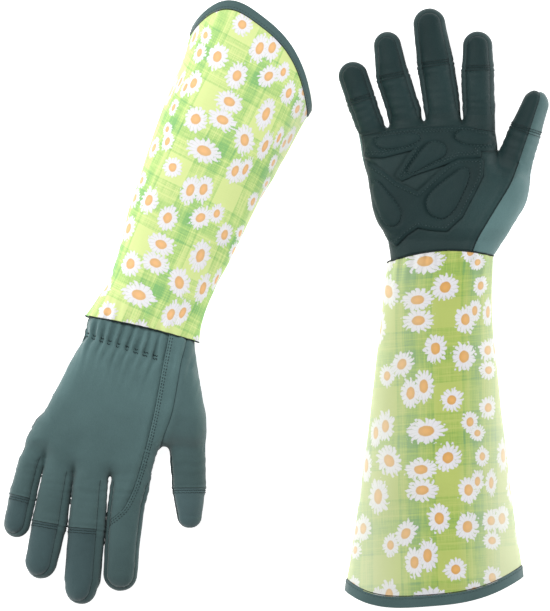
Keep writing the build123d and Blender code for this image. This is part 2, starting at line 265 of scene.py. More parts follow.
GLOVE_1 = Glove(
    "glove_1",
    palm_up=False,
    base=4.0,
    wrist=(-101, -17.5),
    heading=-108,
    scale=1.08,
    outline=(
        (-134, 17), (-142, 3), (-150, -12), (-153, -26), (-162, -42), (-173, -63), (-189, -94),
        (-198, -109), (-184, -116), (-162, -129), (-133, -134), (-104, -132), (-90, -113), (-62, -112),
        (-55.5, -94), (-61, -55), (-64, -34), (-63.5, -22), (-59, -4), (-50, 12),
    ),
    tops=((-20, 0, 14, 24, 60, 100, 130), (37, 37, 35, 36, 33, 26, 22)),
    digits=(
        (
            ((-183, -98, 10), (-195.2, -127, 10.2), (-200.9, -148, 10.2), (-206.2, -174, 10.5)),
            (-195.6, -125.6), (-210.1, -185), 28, 24, (4.6, 4.6),
        ),  # pinky
        (
            ((-168, -100, 12), (-174.4, -140, 12.5), (-180.3, -174, 13.7), (-187, -205, 12.9)),
            (-174.3, -138.6), (-188, -219.2), 36, 26, (5, 5),
        ),  # ring
        (
            (
                (-143, -105, 13), (-147.8, -144, 14.3), (-150.7, -180, 14.7), (-153.8, -218, 14.6),
                (-155, -225.5, 12.8),
            ),
            (-148.2, -146.4), (-155.2, -237), 32, 24, (5.2, 5.2),
        ),  # middle
        (
            (
                (-110, -105, 14), (-114.4, -134, 16.3), (-118.9, -158, 14.3), (-121.6, -182, 13.8),
                (-124, -215, 13),
            ),
            (-118.4, -148), (-123.2, -228.8), 34, 0, (5.4, 5.2),
        ),  # index
        (
            ((-73, -90, 15), (-70, -118, 14.2), (-68.8, -146, 13), (-68.4, -168.6, 9.6)),
            (-69, -124.8), (-68.6, -178.4), 21, -14, (0, 0),
        ),  # thumb
    ),
    sleeve=dict(
        left=((-151.5, -9), (-141, 9), (-132, 27), (-112, 93), (-90, 160), (-73, 206), (-67, 224)),
        right=((-61, -30), (-54.5, -3), (-36, 36), (-7.5, 89.5), (11.5, 122), (30, 156)),
        heights=((0, 0.25, 0.6, 1), (39, 46, 60, 76)),
        lift=2.0,
        start_out=-2.0,
        hem_out=39.5,
        hem_peak=-0.1,
        binding=7.0,
        print_at=(1, 121, 0.92, 2.5, 0.17),
    ),
)
GLOVE_2 = Glove(
    "glove_2",
    palm_up=True,
    base=0.0,
    wrist=(132.5, 38),
    heading=89,
    scale=1.0,
    outline=(
        (90, 12), (91.5, 25), (92.5, 36), (90, 53), (81.5, 69), (76.5, 89), (74, 107), (71, 124),
        (76, 134), (89, 141), (121, 146), (152, 145), (172, 138), (176.5, 124), (179, 110), (200, 104),
        (201, 86), (188, 60), (174, 38), (172.5, 25), (172.5, 12),
    ),
    tops=((-20, 0, 14, 24, 60, 100, 130), (35, 35, 33, 34, 31, 25, 21)),
    digits=(
        (
            ((83, 115, 11), (77.5, 140, 11), (70.8, 159, 10.8), (62.6, 183.5, 11)),
            (75.8, 147.6), (61.6, 193.6), 17, -4, (5.6, 4.6),
        ),  # pinky
        (
            ((109, 122, 13), (103, 156, 13.2), (94, 184, 12.6), (90, 208, 10.4)),
            (102.8, 155.8), (90.4, 218.4), 27, -4, (6.4, 5),
        ),  # ring
        (
            ((138, 120, 14), (134, 157, 14.3), (127.3, 200, 14.2), (123.5, 225, 12.2)),
            (134.8, 161.4), (124.4, 236.8), 31, 0, (6.8, 5.2),
        ),  # middle
        (
            ((164, 118, 13), (163, 155, 12.8), (162.3, 188, 12.4), (162, 207.5, 11.5)),
            (162.9, 159.2), (161.6, 218.8), 29, 0, (6.6, 5.2),
        ),  # index
        (
            ((183, 88, 17), (192, 116, 14.6), (200, 139, 12.6), (208.4, 161, 10.8)),
            (194.4, 121.6), (211.2, 171.2), 18, -74, (0, 0),
        ),  # thumb
    ),
    sleeve=dict(
        left=((91, 35), (85, -10), (77, -84), (67, -156), (56.5, -228)),
        right=((175, 40), (174, 5), (180, -65), (187, -133), (192.5, -175), (198.5, -217)),
        heights=((0, 0.25, 0.6, 1), (38, 43, 56, 72)),
        lift=0.0,
        start_out=7.0,
        hem_out=18.0,
        hem_peak=0.0,
        binding=9.0,
        print_at=(-15.6, 104.6, 1.0, -2.0, 0.0),
    ),
)

# Seams on the back, drawn on glove 1: from the wrist to the index finger's side, and beside the thumb
WRAP_LINE = GLOVE_1.outline_uv(
    spline(
        (
            (-83, -10), (-86, -28), (-90, -48), (-98, -91), (-109, -134), (-118, -157), (-126, -167),
            (-140, -177),
        ),
        False,
    )
)
THUMB_LINE = GLOVE_1.outline_uv(
    spline(((-68, -10), (-71, -31), (-75.5, -48), (-82, -84), (-89, -105), (-93, -122)), False)
)
# Seams and patches of the palm, drawn on glove 2
PALM_THUMB_LINE = GLOVE_2.outline_uv(
    spline(((156, 30), (160, 49), (176, 77), (188, 97), (196, 117), (202, 132), (218, 172)), False)
)
UPPER_PATCH = GLOVE_2.outline_uv(
    (
        (70, 136), (92, 139.5), (116, 142), (152, 143), (178, 139), (177, 124), (164, 124), (164, 119),
        (147, 118), (135, 113), (109, 103.5), (101, 100), (97.5, 104), (111, 125), (86, 118.6), (72, 119),
    )
)
HEEL_PATCH = GLOVE_2.outline_uv(
    (
        (72, 117), (86, 107), (97, 98), (114, 90), (121, 96), (138, 112), (147, 116.5), (166, 117),
        (166, 104), (159, 90), (149, 71), (137, 60), (124, 61), (114, 63), (105, 57), (97, 48), (84, 58),
        (73, 92),
    )
)
PADS = [
    GLOVE_2.outline_uv(spline(points, True, 2.0))
    for points in (
        ((107, 108), (121, 127), (129, 130), (136, 126), (135, 120), (122, 113), (112, 107)),
        ((82, 133), (98, 135.5), (112, 136.5), (115.5, 133), (103, 127.5), (86, 126)),
        ((145, 135), (152, 139.5), (173, 137), (173, 130), (154, 129.5)),
        (
            (122, 83), (125, 74), (134, 70), (142, 76), (148, 86), (155, 104), (151, 109), (143, 104),
            (129, 93),
        ),
        ((81, 99), (89, 90), (97, 80), (100, 72), (97, 65), (90, 66), (83, 78), (79, 92)),
    )
]


# ---------------------------------------------------------------- triangle meshes
class Skin:
    """Triangles that are cut along the seams and labelled."""

    def __init__(self, points, tris):
        self.p = points
        self.t = tris
        self.label = np.zeros(len(tris), np.int64)

    def middles(self):
        return self.p[self.t].mean(axis=1)

    def cut(self, field, mask):
        """Adds an edge along field = 0 through the masked triangles."""
        f = field(self.p)
        f = np.where(np.abs(f) < 0.12, 0.0, f)
        edges = np.sort(self.t[:, [[0, 1], [1, 2], [2, 0]]], axis=2)
        key = edges[..., 0] * len(self.p) + edges[..., 1]
        crosses = (f[edges[..., 0]] * f[edges[..., 1]] < 0) & mask[:, None]
        unique = np.unique(key[crosses])
        if not len(unique):
            return
        a, b = unique // len(self.p), unique % len(self.p)
        share = (f[a] / (f[a] - f[b]))[:, None]
        first_new = len(self.p)
        self.p = np.vstack((self.p, self.p[a] * (1 - share) + self.p[b] * share))
        found = np.minimum(np.searchsorted(unique, key), len(unique) - 1)
        mids = np.where(unique[found] == key, found + first_new, -1)
        count = (mids >= 0).sum(axis=1)
        kept = count == 0
        new, labels = [self.t[kept]], [self.label[kept]]
        for n, lead in ((1, 1), (2, 0), (3, 1)):
            rows = np.nonzero(count == n)[0]
            if not len(rows):
                continue
            t, m = self.t[rows], mids[rows]
            turn = np.argmax((m >= 0) == bool(lead), axis=1)
            order = (turn[:, None] + (np.arange(3) + (0 if lead else 1))) % 3
            t = np.take_along_axis(t, order, axis=1)
            m = np.take_along_axis(m, order, axis=1)
            v0, v1, v2 = t.T
            m0, m1, m2 = m.T
            if n == 1:
                parts = ((v0, m0, v2), (m0, v1, v2))
            elif n == 2:
                parts = ((m0, v1, m1), (v0, m0, m1), (v0, m1, v2))
            else:
                parts = ((v0, m0, m2), (m0, v1, m1), (m2, m1, v2), (m0, m1, m2))
            for part in parts:
                new.append(np.stack(part, axis=1))
                labels.append(self.label[rows])
        self.t = np.vstack(new)
        self.label = np.concatenate(labels)

    def mark(self, field, old, positive, negative=None):
        """Cuts the triangles with an old label along field = 0 and labels the two sides."""
        self.cut(field, self.label == old)
        rows = self.label == old
        value = field(self.middles())
        self.label[rows & (value > 0)] = positive
        if negative is not None:
            self.label[rows & (value <= 0)] = negative


def vertex_normals(points, tris):
    face = np.cross(points[tris[:, 1]] - points[tris[:, 0]], points[tris[:, 2]] - points[tris[:, 0]])
    normals = np.zeros_like(points)
    for i in range(3):
        np.add.at(normals, tris[:, i], face)
    return normals / np.maximum(np.linalg.norm(normals, axis=1), 1e-12)[:, None]


def rim_edges(faces):
    """Directed edges that only one face has."""
    edges = np.stack((faces, np.roll(faces, -1, axis=1)), axis=-1).reshape(-1, 2)
    size = edges.max() + 1
    key, back = edges[:, 0] * size + edges[:, 1], edges[:, 1] * size + edges[:, 0]
    return edges[~np.isin(key, back)]


def new_object(name, points, faces, normals=None, material=None, uv=None):
    """A mesh object in metres from points in millimetres."""
    mesh = bpy.data.meshes.new(name)
    mesh.from_pydata((points / 1000).tolist(), [], faces.tolist() if isinstance(faces, np.ndarray) else faces)
    mesh.polygons.foreach_set("use_smooth", np.ones(len(mesh.polygons), bool))
    if normals is not None:
        mesh.normals_split_custom_set_from_vertices(normals.tolist())
    if uv is not None:
        layer = mesh.uv_layers.new(name="cloth")
        corner = np.zeros(len(mesh.loops), np.int64)
        mesh.loops.foreach_get("vertex_index", corner)
        layer.data.foreach_set("uv", uv[corner].astype(np.float32).ravel())
    obj = bpy.data.objects.new(name, mesh)
    bpy.context.scene.collection.objects.link(obj)
    if material is not None:
        mesh.materials.append(material)
    return obj


def above_floor(points):
    """Points kept just above the surface that the gloves lie on."""
    points[:, 2] = np.maximum(points[:, 2], 0.1)
    return points


def closed_sheet(name, points, normals, faces, outer, inner, material, lining=None, uv=None):
    """A closed sheet of cloth between two offsets from a surface."""
    used, index = np.unique(faces, return_inverse=True)
    faces = index.reshape(faces.shape)
    p, n = points[used], normals[used]
    count = len(p)
    outer, inner = (np.broadcast_to(offset, len(points))[used][:, None] for offset in (outer, inner))
    rim = rim_edges(faces)
    sides = np.stack((rim[:, 1], rim[:, 0], rim[:, 0] + count, rim[:, 1] + count), axis=1)
    obj = new_object(
        name,
        above_floor(np.vstack((p + n * outer, p + n * inner))),
        faces.tolist() + (faces[:, ::-1] + count).tolist() + sides.tolist(),
        np.vstack((n, -n)),
        material,
        None if uv is None else np.vstack((uv[used], uv[used])),
    )
    if lining:
        obj.data.materials.append(lining)
        slots = np.zeros(len(obj.data.polygons), np.int32)
        slots[len(faces) : 2 * len(faces)] = 1
        obj.data.polygons.foreach_set("material_index", slots)
    return obj


def isolines(points, normals, tris, field, level):
    """Lines where a field over a surface equals a level, each as (points, normals)."""
    f = field - level
    f = np.where(f == 0, 1e-6, f)
    edges = np.sort(tris[:, [[0, 1], [1, 2], [2, 0]]], axis=2)
    crosses = (f[edges[..., 0]] * f[edges[..., 1]] < 0) & (np.abs(f[edges]).max(axis=2) < 30)
    rows = np.nonzero(crosses.sum(axis=1) == 2)[0]
    if not len(rows):
        return []
    pairs = edges[rows][crosses[rows]].reshape(-1, 2, 2)
    key = pairs[..., 0] * len(points) + pairs[..., 1]
    unique, index = np.unique(key, return_inverse=True)
    index = index.reshape(-1, 2)
    a, b = unique // len(points), unique % len(points)
    share = (f[a] / (f[a] - f[b]))[:, None]
    p = points[a] * (1 - share) + points[b] * share
    n = normals[a] * (1 - share) + normals[b] * share
    near = {}
    for i, j in index.tolist():
        near.setdefault(i, []).append(j)
        near.setdefault(j, []).append(i)
    lines, seen = [], set()
    for start in sorted(near, key=lambda k: len(near[k])):
        if start in seen:
            continue
        line, here = [start], start
        seen.add(start)
        while True:
            after = [k for k in near[here] if k not in seen]
            if not after:
                break
            here = after[0]
            seen.add(here)
            line.append(here)
        if start in near[here] and len(line) > 2:
            line.append(start)
        if len(line) > 3:
            lines.append((p[line], n[line]))
    return lines


def at_reach(values, reach, at):
    return np.stack([np.interp(at, reach, values[:, k]) for k in range(3)], axis=1)


def evenly(points, normals, gap):
    """Points that far apart along a line, with directions and normals."""
    steps = np.linalg.norm(np.diff(points, axis=0), axis=1)
    reach = np.concatenate(([0], np.cumsum(steps)))
    at = np.arange(gap * 0.5, reach[-1], gap)
    n = at_reach(normals, reach, at)
    d = at_reach(points, reach, at + 0.5) - at_reach(points, reach, at - 0.5)
    n, d = (way / np.maximum(np.linalg.norm(way, axis=1), 1e-9)[:, None] for way in (n, d))
    return at_reach(points, reach, at), n, d


class Thread:
    """Collects stitches, each a small spindle of thread."""

    def __init__(self):
        self.ends = []

    def row(self, lines, gap=2.5, length=1.7, radius=0.3, lift=0.15, zigzag=0.0):
        for points, normals in lines:
            p, n, d = evenly(points, normals, gap)
            if len(p) < 2:
                continue
            side = np.cross(n, d)
            if zigzag:
                turn = np.where(np.arange(len(p)) % 2, 1.0, -1.0)[:, None]
                d = d * gap + side * turn * zigzag * 2
                d /= np.linalg.norm(d, axis=1)[:, None]
                side = np.cross(n, d)
            self.ends.append((p + n * lift, d * length / 2, side * radius, n * radius))

    def build(self, name, material):
        if not self.ends:
            return None
        p, d, s, n = (np.vstack([row[i] for row in self.ends]) for i in range(4))
        rings = [p + d * way + out for way in (-0.5, 0.5) for out in (s, n, -s, -n)]
        points = above_floor(np.stack([p - d, p + d, *rings], axis=1).reshape(-1, 3))
        one = []
        for a, b in ((2, 3), (3, 4), (4, 5), (5, 2)):
            one += [(0, b, a), (1, a + 4, b + 4), (a, b, b + 4), (a, b + 4, a + 4)]
        faces = (np.arange(len(p))[:, None, None] * 10 + np.array(one)).reshape(-1, 3)
        return new_object(name, points, faces, material=material)


# ---------------------------------------------------------------- materials
class Shader:
    """A material made of nodes."""

    def __init__(self, name):
        self.material = bpy.data.materials.new(name)
        self.material.use_nodes = True
        self.tree = self.material.node_tree
        self.tree.nodes.clear()

    def node(self, kind, *inputs, **settings):
        """Adds a node. Each input is a value or another node's output."""
        made = self.tree.nodes.new("ShaderNode" + kind)
        named = settings.pop("into", {})
        for key, value in settings.items():
            setattr(made, key, value)
        for key, value in [*enumerate(inputs), *named.items()]:
            if isinstance(value, bpy.types.NodeSocket):
                self.tree.links.new(value, made.inputs[key])
            elif value is not None:
                made.inputs[key].default_value = value
        return made

    def math(self, operation, *inputs, clamp=False):
        return self.node("Math", *inputs, operation=operation, use_clamp=clamp).outputs[0]

    def between(self, value, first, last):
        """Runs from 0 to 1 as the value runs from first to last."""
        return self.math("DIVIDE", self.math("SUBTRACT", value, first), last - first, clamp=True)

    def vector(self, operation, *inputs):
        made = self.node("VectorMath", *inputs, operation=operation)
        return made.outputs["Value" if operation in ("LENGTH", "DISTANCE") else "Vector"]

    def noise(self, place, scale, detail, distortion=0.0):
        into = {"Vector": place, "Scale": scale, "Detail": detail, "Distortion": distortion}
        return self.node("TexNoise", into=into).outputs[0]

    def mapped(self, place, middle, turn, size):
        turned_by = (0, 0, radians(turn))
        return self.node("Mapping", place, middle, turned_by, size, vector_type="TEXTURE").outputs[0]

    def mix(self, share, a, b):
        a, b = ((*c, 1) if isinstance(c, tuple) else c for c in (a, b))
        return self.node("Mix", data_type="RGBA", into={"Factor": share, 6: a, 7: b}).outputs[2]

    def ramp(self, value, stops):
        made = self.node("ValToRGB", value)
        cells = made.color_ramp.elements
        while len(cells) < len(stops):
            cells.new(0.5)
        for cell, (at, level) in zip(cells, stops):
            cell.position = at
            cell.color = (level, level, level, 1)
        return made.outputs["Color"]

    def finish(self, colour, roughness, height, strength, sheen, specular=0.3):
        bump = self.node("Bump", into={"Height": height, "Distance": 0.0005, "Strength": strength}).outputs[0]
        into = {
            "Base Color": colour,
            "Roughness": roughness,
            "Specular IOR Level": specular,
            "Sheen Weight": sheen,
            "Sheen Roughness": 0.5,
            "Normal": bump,
        }
        self.node("OutputMaterial", self.node("BsdfPrincipled", into=into).outputs[0])
        return self.material


def shaded(colour, share):
    return tuple(c * share for c in colour)


def cloth_material(name, colour, light, grain, roughness=0.8, sheen=0.25, painted_falloff=None, specular=0.3):
    """Plain cloth with a fine knit, slow changes of shade and small creases. It may carry painted light and
    shade: its own colour near a place, darker farther from it.
    """
    s = Shader(name)
    place = s.node("TexCoord").outputs["Object"]
    fine = s.noise(place, grain, 2.0)
    knit = s.node("TexVoronoi", into={"Vector": place, "Scale": grain * 1.3}).outputs[0]
    shade = s.math("ADD", s.math("MULTIPLY", s.noise(place, 28.0, 3.0), 0.7), s.math("MULTIPLY", fine, 0.45))
    shade = s.ramp(shade, ((0.3, 0.0), (0.85, 1.0)))
    dark = shaded(colour, 0.86)
    tint = s.mix(shade, dark, light)
    # Painted light and shade: the colour is kept near the centre and turns into a darker copy farther from it
    if painted_falloff:
        centre, first, last, left = painted_falloff
        part = s.between(s.vector("DISTANCE", place, centre), first, last)
        tint = s.mix(part, tint, s.mix(shade, shaded(dark, left), shaded(light, left)))
    height = s.math("ADD", s.math("MULTIPLY", knit, 0.5), s.math("MULTIPLY", fine, 0.3))
    height = s.math("ADD", height, s.math("MULTIPLY", s.noise(place, 130.0, 3.0, 0.6), 0.9))
    return s.finish(tint, roughness, height, 0.55, sheen, specular)


# Stripes of the plaid: from and to as shares of the repeat, and how deep the green is there
PLAID_ACROSS = (
    (0, 0.42, 0), (0.43, 0.455, 0.75), (0.465, 0.5, 0.3), (0.508, 0.522, 0.05), (0.53, 0.56, 0.5),
    (0.57, 0.73, 1), (0.74, 0.765, 0.5), (0.772, 0.786, 0.05), (0.794, 0.85, 0.4), (0.858, 0.872, 0.05),
    (0.88, 0.95, 0.5), (0.958, 0.982, 0.8), (0.99, 1, 0),
)  # fmt: skip
PLAID_ALONG = (
    (0, 0.345, 0), (0.35, 0.372, 0.7), (0.38, 0.44, 0.35), (0.446, 0.46, 0.05), (0.466, 0.53, 0.5),
    (0.536, 0.548, 0.05), (0.556, 0.58, 0.6), (0.588, 0.74, 1), (0.746, 0.8, 0.5), (0.806, 0.82, 0.05),
    (0.826, 0.9, 0.45), (0.906, 0.918, 0.1), (0.925, 0.965, 0.5), (0.972, 0.99, 0.75), (0.996, 1, 0),
)  # fmt: skip
# Each daisy: middle across and along from the pair near the sleeve's middle, width, length, turn in degrees
DAISIES = (
    (-5.2, 2.7, 16, 24, 0), (5.3, -2.5, 16.5, 26, 0), (14.6, -32.3, 18, 23, 0), (37.6, -24.8, 19, 23, 0),
    (58.4, -29, 17, 17.5, 0), (59.2, -13, 17, 15, 0), (-12.4, -21, 17, 22, 30), (-24.9, -12, 13.5, 18, 0),
    (28, 9.5, 18, 18, 45), (59.3, 17, 16, 18, 0), (-34.5, 33.7, 12, 24, 0), (-25.5, 28.5, 15, 24, 0),
    (7.7, 33.7, 31, 20, 0), (43.3, 27.8, 14, 17.5, 0), (49.8, 37, 12.7, 12.7, 0),
    (-21.6, 56.8, 19, 26, -30), (25.8, 55.7, 21, 21.5, 0), (54.4, 56, 12, 16, 0), (-44.2, 60, 14, 27, 0),
    (4.1, 64.7, 26, 17.5, 0), (5.4, 81.4, 25, 18, 0), (-30.8, 85.4, 17.5, 29, 0), (43.1, 82.5, 17, 22, 0),
    (50.7, 75.8, 11, 18, 0), (63, 77.4, 10, 22, 0), (-46, 110.8, 17, 21.5, 0),
)
TILE = (120.0, 137.0)


def print_material(name, at, inside, pale, stripe, deep, orange, petals, painted_side_glare):
    """Daisies on a green plaid. The cloth map holds millimetres across and along the sleeve."""
    s = Shader(name)
    u0, v0, size, turn, shear = at
    cloth = s.node("UVMap", uv_map="cloth").outputs[0]
    place = s.mapped(cloth, (u0, v0, 0), turn, (size, size, 1))
    across, along, _ = s.node("SeparateXYZ", place).outputs
    along = s.math("SUBTRACT", along, s.math("MULTIPLY", across, shear))
    place = s.node("CombineXYZ", across, along).outputs[0]
    level = 0.0
    plaid = ((across, 53.0, -14.0, PLAID_ACROSS), (along, 67.8, 3.5, PLAID_ALONG))
    for value, period, shift, stripes in plaid:
        part = s.math("FRACT", s.math("ADD", s.math("DIVIDE", value, period), shift / period))
        stops = [(at, depth) for first, last, depth in stripes for at in (first, last)]
        level = s.math("ADD", level, s.ramp(part, stops))
    level = s.math("MULTIPLY", level, 0.5)
    # Woven streaks run along both directions
    streaks = 0.0
    for stretch in ((1.0, 0.05, 1), (0.05, 1.0, 1)):
        streak = s.math("SUBTRACT", s.noise(s.vector("MULTIPLY", place, stretch), 1.1, 3.0), 0.5)
        streaks = s.math("ADD", streaks, streak)
    streaks = s.math("MULTIPLY", streaks, s.ramp(level, ((0.0, 0.15), (0.25, 1))))
    level = s.math("ADD", level, s.math("MULTIPLY", streaks, 1.1), clamp=True)
    ground = s.mix(s.ramp(level, ((0.0, 0), (0.5, 1))), pale, stripe)
    ground = s.mix(s.ramp(level, ((0.5, 0), (1.0, 1))), ground, deep)
    # The nearest daisy's own place: its tips are 1 from its middle
    best, local = 10.0, None
    c, d = cos(radians(-turn)), sin(radians(-turn))
    for f, g, w, h, lean in DAISIES:
        x, y = f * c - g * d, f * d + g * c
        ends = [(x + way * TILE[0] / 2, y + way * TILE[1] / 2, way) for way in (1, -1)]
        own = s.mapped(s.vector("WRAP", place, *ends), (x, y, 0), lean - turn, (w / 2, h / 2, 1))
        reach = s.vector("LENGTH", own)
        closer = s.math("LESS_THAN", reach, best)
        local = s.node("Mix", data_type="VECTOR", into={"Factor": closer, 4: local, 5: own}).outputs[1]
        best = s.math("MINIMUM", best, reach)
    qx, qy, _ = s.node("SeparateXYZ", local).outputs
    rough = s.math("SUBTRACT", s.noise(place, 0.28, 1.0), 0.5)
    angle = s.math("ADD", s.math("ARCTAN2", qy, qx), s.math("MULTIPLY", rough, 0.5))
    wave = s.math("ABSOLUTE", s.math("COSINE", s.math("MULTIPLY", angle, 8.0)))
    edge = s.math("ADD", s.math("MULTIPLY", s.math("POWER", wave, 0.5), 0.36), 0.72)
    edge = s.math("ADD", edge, s.math("MULTIPLY", rough, 0.8))
    inward = s.math("SUBTRACT", edge, best)
    petal = s.ramp(inward, ((0.0, 0), (0.07, 1)))
    grey = s.math("MULTIPLY", s.ramp(wave, ((0.0, 1), (0.4, 0))), s.ramp(best, ((0.35, 0.2), (0.8, 1))))
    grey = s.math("ADD", s.math("MULTIPLY", grey, 0.55), s.ramp(inward, ((0.03, 0.25), (0.3, 0))), clamp=True)
    colour = s.mix(petal, ground, s.mix(grey, petals, shaded(petals, 0.68)))
    heart = s.ramp(s.math("ADD", best, s.math("MULTIPLY", rough, 0.1)), ((0.39, 1), (0.45, 0)))
    colour = s.mix(heart, colour, s.mix(s.ramp(best, ((0.1, 0), (0.4, 1))), orange, shaded(orange, 0.86)))
    side = s.node("SeparateXYZ", cloth).outputs[0]
    # Painted highlight: the print pales towards the sleeve's sides
    for first, last, most in painted_side_glare:
        colour = s.mix(s.math("MULTIPLY", s.between(side, first, last), most), colour, (0.82, 0.85, 0.7))
    if inside:
        colour = s.mix(0.72, colour, (0.86, 0.88, 0.8))
    weave = 1.0
    for direction in ("X", "Y"):
        into = {"Vector": cloth, "Scale": 0.55, "Distortion": 0.8, "Detail": 1.0, "Detail Scale": 2.0}
        thread = s.node("TexWave", into=into, bands_direction=direction).outputs["Fac"]
        weave = s.math("MULTIPLY", weave, thread)
    soft = s.noise(cloth, 0.12, 3.0)
    height = s.math("ADD", s.math("MULTIPLY", weave, 0.35), s.math("MULTIPLY", soft, 1.5))
    return s.finish(colour, 0.72, height, 0.5, 0.15)


# Painted light and shade: a cloth keeps its colour near this place in metres and darkens over these distances
# down to this share. Glove 1's back darkens towards the fingers and its thumb darkens down the thumb; glove
# 2's back is lit round the thumb and its palm round the thumb's base.
PAINTED_SHADE_FINGERWARD = ((-0.085, 0.03, 0.02), 0.085, 0.25, 0.5)
PAINTED_SHADE_ALONG_THUMB = ((-0.062, -0.05, 0.02), 0.03, 0.085, 0.7)
PAINTED_LIGHT_ROUND_THUMB = ((0.182, 0.05, 0.015), 0.03, 0.11, 0.66)
PAINTED_LIGHT_ROUND_THUMB_ROOT = ((0.168, 0.078, 0.015), 0.0, 0.046, 0.53)
COARSE, FINE, THREAD = 1100.0, 1400.0, 3000.0  # scale of the grain
ROUGH, DOWNY, SLEEK = 0.8, 0.25, 0.07  # roughness and two amounts of sheen
# Each cloth: name, colour, light threads, grain, roughness, sheen, painted light and shade falloff, specular
CLOTHS = {
    "teal": ("teal_cloth", (0.088, 0.168, 0.170), (0.112, 0.206, 0.208), FINE, ROUGH, DOWNY, PAINTED_SHADE_FINGERWARD),
    "dark": ("dark_cloth", (0.0098, 0.0325, 0.0335), (0.015, 0.042, 0.043), COARSE, 0.6, SLEEK, None, 0.25),
    "patch": (
        "patch_cloth", (0.0084, 0.028, 0.029), (0.0128, 0.0365, 0.0375), COARSE, 0.62, SLEEK, None, 0.22
    ),
    "pad": ("pad_cloth", (0.0084, 0.0282, 0.029), (0.013, 0.037, 0.038), COARSE, 0.6, SLEEK, None, 0.22),
    "binding": ("binding_cloth", (0.062, 0.118, 0.117), (0.085, 0.150, 0.150), 1500.0),
    "thread": ("thread", (0.010, 0.020, 0.021), (0.016, 0.030, 0.031), THREAD, 0.6, 0.0),
    "pale_thread": ("pale_thread", (0.045, 0.082, 0.082), (0.06, 0.10, 0.10), THREAD, 0.6, 0.0),
    "patch_thread": ("patch_thread", (0.027, 0.056, 0.057), (0.04, 0.078, 0.079), THREAD, 0.5, 0.0),
    # painted shade: a darker copy of the teal for glove 1's finger tips
    "tip": ("tip_cloth", (0.042, 0.082, 0.087), (0.052, 0.098, 0.104), FINE),
    # painted shade: a darker copy of the teal for glove 1's thumb, darker still down the thumb
    "thumb": ("thumb_cloth", (0.07, 0.132, 0.134), (0.088, 0.162, 0.164), FINE, ROUGH, DOWNY, PAINTED_SHADE_ALONG_THUMB),
    # painted shade: a darker copy of the teal for glove 1's thumb tip
    "thumb_tip": ("thumb_tip_cloth", (0.066, 0.118, 0.126), (0.08, 0.142, 0.15), FINE),
    # painted shade: a darker copy of the teal for glove 2's fourchettes between the fingers
    "side": ("side_cloth", (0.026, 0.052, 0.053), (0.034, 0.066, 0.067), COARSE, 0.7, 0.1),
    # painted light: a lighter copy of the teal for glove 2's backs and thumb, lightest round the thumb
    "back_2": ("back_cloth", (0.105, 0.198, 0.2), (0.132, 0.242, 0.244), FINE, ROUGH, DOWNY, PAINTED_LIGHT_ROUND_THUMB),
    # painted light: a lighter copy of the dark cloth for glove 2's palm panel, lightest round the thumb's
    # base
    "palm": (
        "palm_cloth", (0.021, 0.061, 0.062), (0.0315, 0.079, 0.08), COARSE, 0.6, SLEEK, PAINTED_LIGHT_ROUND_THUMB_ROOT, 0.25
    ),
}
MATERIALS = {key: cloth_material(*given) for key, given in CLOTHS.items()}


def declare(obj, node, length=None):
    """Hides the imported part that this piece of cloth stands for. The length, given or the piece's longest
    side, is worked out but not used.
    """
    length = length or max(obj.dimensions.x, obj.dimensions.y, obj.dimensions.z)
    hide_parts(node)


def seam_cut(distance, depth=0.75):
    """How a seam pulls the cloth in, and how it puffs beside it."""
    d = np.abs(distance)
    return -depth * bell(d, 1.1) + 0.45 * bell(d - 4.0, 2.4)


def true_place(points):
    """Outlines are drawn as they look from the camera: what is higher up lies nearer the middle."""
    out = points.copy()
    out[:, :2] *= (1 - points[:, 2] / CAMERA_HEIGHT)[:, None]
    return out


# ---------------------------------------------------------------- hands
# Labels of the skin. A digit has 10, 20 and so on, with 1 for its back, 2 palm, 3 side, 4 and 5 the two tips.
BACK, PALM, WRAP, BASE, GATHER, KNUCKLE, HEEL, UNSORTED, PAD = 1, 2, 3, 4, 5, 6, 7, 99, 100
PATCH_PADS = {KNUCKLE: (0, 1, 2), HEEL: (3, 4)}
ELASTIC = 21.0  # from the wrist's fold line
FAR = 99.0  # stands for a seam on the hand's other side


def hand_surface(glove):
    """The hand's outer skin as triangles."""
    flat = np.vstack([glove.outline] + [np.array(d.line)[:, :2] for d in glove.digits])
    lo = np.array([*(flat.min(axis=0) - 18), -2.5])
    hi = np.array([*(flat.max(axis=0) + 18), 41.0])
    x, y, z = (np.arange(a, b, VOXEL) for a, b in zip(lo, hi))
    x, y = (g[:, :, None] for g in np.meshgrid(x, y, indexing="ij"))
    field = glove.field(x, y, z[None, None, :])
    grid = openvdb.FloatGrid(1e3)
    grid.copyFromArray(np.ascontiguousarray(field / VOXEL, dtype=np.float32))
    points, quads = grid.convertToQuads(isovalue=0.0)
    points = np.array(points, float) * VOXEL + lo
    quads = np.array(quads, np.int64)
    tris = np.vstack((quads[:, [0, 1, 2]], quads[:, [0, 2, 3]]))
    a, b, c = (points[tris[:, i]] for i in range(3))
    if np.einsum("ij,ij->i", np.cross(a, b), c).sum() < 0:
        tris = tris[:, ::-1]
    step = 0.25
    here = glove.field(*points.T)
    slope = np.stack([(glove.field(*(points + step * e).T) - here) / step for e in np.eye(3)], axis=1)
    points = points - slope * (here / np.maximum((slope**2).sum(axis=1), 0.2))[:, None]
    return Skin(points, tris)


